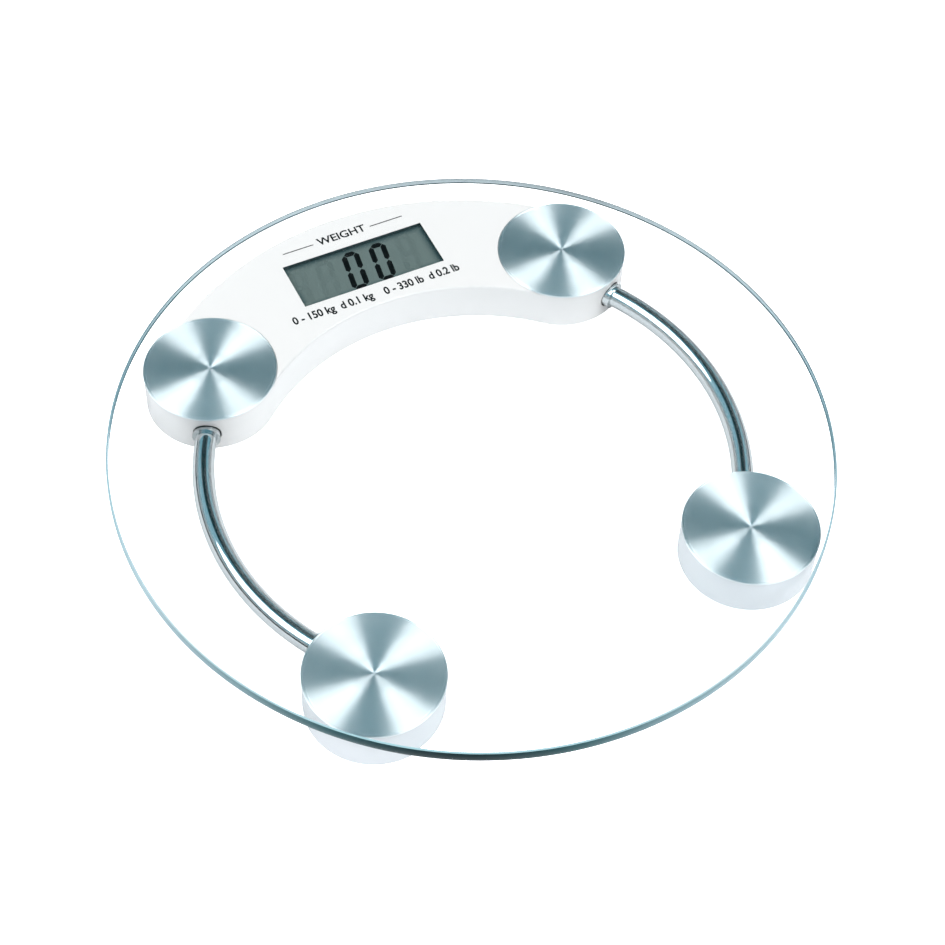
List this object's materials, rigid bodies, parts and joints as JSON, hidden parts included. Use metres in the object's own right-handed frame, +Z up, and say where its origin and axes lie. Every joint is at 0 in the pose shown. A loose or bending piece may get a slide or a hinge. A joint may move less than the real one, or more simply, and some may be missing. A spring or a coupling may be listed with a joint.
{
  "type": "digital bathroom scale",
  "caption": "Round glass bathroom scale with a crescent display housing, spun metal discs over the feet, chromed wire tubes and pads that press on load cells.",
  "frame": {"origin": "on the floor under the middle of the glass", "axes": "+Z up, +Y towards the display, +X to the right"},
  "size_m": [0.33, 0.33, 0.028],
  "materials": {
    "platform_glass": "clear toughened glass with a ground, teal-tinted edge",
    "spun_aluminium": "circularly spun face with a turned rim",
    "white_gloss": "glossy white moulded plastic",
    "white_matte": "lightly textured white plastic",
    "chrome_tube": "bright chromed steel",
    "grip_rubber": "dark anti-slip rubber",
    "silicone": "translucent silicone",
    "cell_steel": "stamped spring steel, nickel plated",
    "screw_steel": "zinc-plated screw steel",
    "lcd_glass": "grey-green liquid-crystal glass",
    "reflector_film": "satin reflector film",
    "connector_rubber": "striped conductive rubber",
    "board_laminate": "green solder-masked laminate",
    "black_resin": "black resin and chip plastic",
    "contact_metal": "nickel-plated spring contact",
    "coin_steel": "brushed stainless coin-cell can",
    "wire_sheath": "soft wire sheath"
  },
  "bodies": {
    "scale_body": {"glass_platform": "platform_glass", "housing_top_shell": "white_gloss", "housing_base_cover": "white_matte", "coin_cell": "coin_steel", "negative_contact": "contact_metal", "positive_contact": "contact_metal", "unit_switch": "black_resin", "tap_switch": "cell_steel", "main_board": "board_laminate", "controller_chip": "black_resin", "board_components": "black_resin", "lcd_cell": "lcd_glass", "lcd_reflector": "reflector_film", "lcd_holder": "white_matte", "zebra_strip": "connector_rubber", "strain_gauges": "silicone", "housing_screws": "screw_steel", "board_screws": "screw_steel", "carrier_screws": "screw_steel", "rear_right_disc": "spun_aluminium", "rear_right_cell_carrier": "white_matte", "rear_right_load_cell": "cell_steel", "rear_right_wires": "wire_sheath", "rear_left_disc": "spun_aluminium", "rear_left_cell_carrier": "white_matte", "rear_left_load_cell": "cell_steel", "rear_left_wires": "wire_sheath", "front_left_disc": "spun_aluminium", "front_left_cell_carrier": "white_matte", "front_left_load_cell": "cell_steel", "front_left_wires": "wire_sheath", "front_left_foot_shell": "white_gloss", "front_left_foot_ring": "white_matte", "front_right_disc": "spun_aluminium", "front_right_cell_carrier": "white_matte", "front_right_load_cell": "cell_steel", "front_right_wires": "wire_sheath", "front_right_foot_shell": "white_gloss", "front_right_foot_ring": "white_matte", "left_tube": "chrome_tube", "left_rear_ferrule": "chrome_tube", "left_front_ferrule": "chrome_tube", "right_tube": "chrome_tube", "right_rear_ferrule": "chrome_tube", "right_front_ferrule": "chrome_tube"},
    "battery_door": {"battery_door": "white_matte"},
    "unit_button": {"unit_button": "white_matte"},
    "rear_right_foot": {"rear_right_pad": "white_matte", "rear_right_grip": "grip_rubber", "rear_right_load_button": "silicone"},
    "rear_left_foot": {"rear_left_pad": "white_matte", "rear_left_grip": "grip_rubber", "rear_left_load_button": "silicone"},
    "front_left_foot": {"front_left_pad": "white_matte", "front_left_grip": "grip_rubber", "front_left_load_button": "silicone"},
    "front_right_foot": {"front_right_pad": "white_matte", "front_right_grip": "grip_rubber", "front_right_load_button": "silicone"}
  },
  "joints": [
    {"name": "rear_right_press", "type": "slide", "parent": "scale_body", "child": "rear_right_foot", "axis": [0, 0, 1], "range_m": [0, 0.0005], "stiffness_N_per_m": 800000, "deforming": ["rear_right_load_button"]},
    {"name": "rear_left_press", "type": "slide", "parent": "scale_body", "child": "rear_left_foot", "axis": [0, 0, 1], "range_m": [0, 0.0005], "stiffness_N_per_m": 800000, "deforming": ["rear_left_load_button"]},
    {"name": "front_left_press", "type": "slide", "parent": "scale_body", "child": "front_left_foot", "axis": [0, 0, 1], "range_m": [0, 0.0005], "stiffness_N_per_m": 800000, "deforming": ["front_left_load_button"]},
    {"name": "front_right_press", "type": "slide", "parent": "scale_body", "child": "front_right_foot", "axis": [0, 0, 1], "range_m": [0, 0.0005], "stiffness_N_per_m": 800000, "deforming": ["front_right_load_button"]},
    {"name": "unit_button_press", "type": "slide", "parent": "scale_body", "child": "unit_button", "axis": [0, 0, 1], "range_m": [0, 0.0006], "stiffness_N_per_m": 1500},
    {"name": "battery_door_turn", "type": "hinge", "parent": "scale_body", "child": "battery_door", "pos_m": [0.027, 0.118, 0.0019], "axis": [0, 0, 1], "range_deg": [0, 60]}
  ]
}
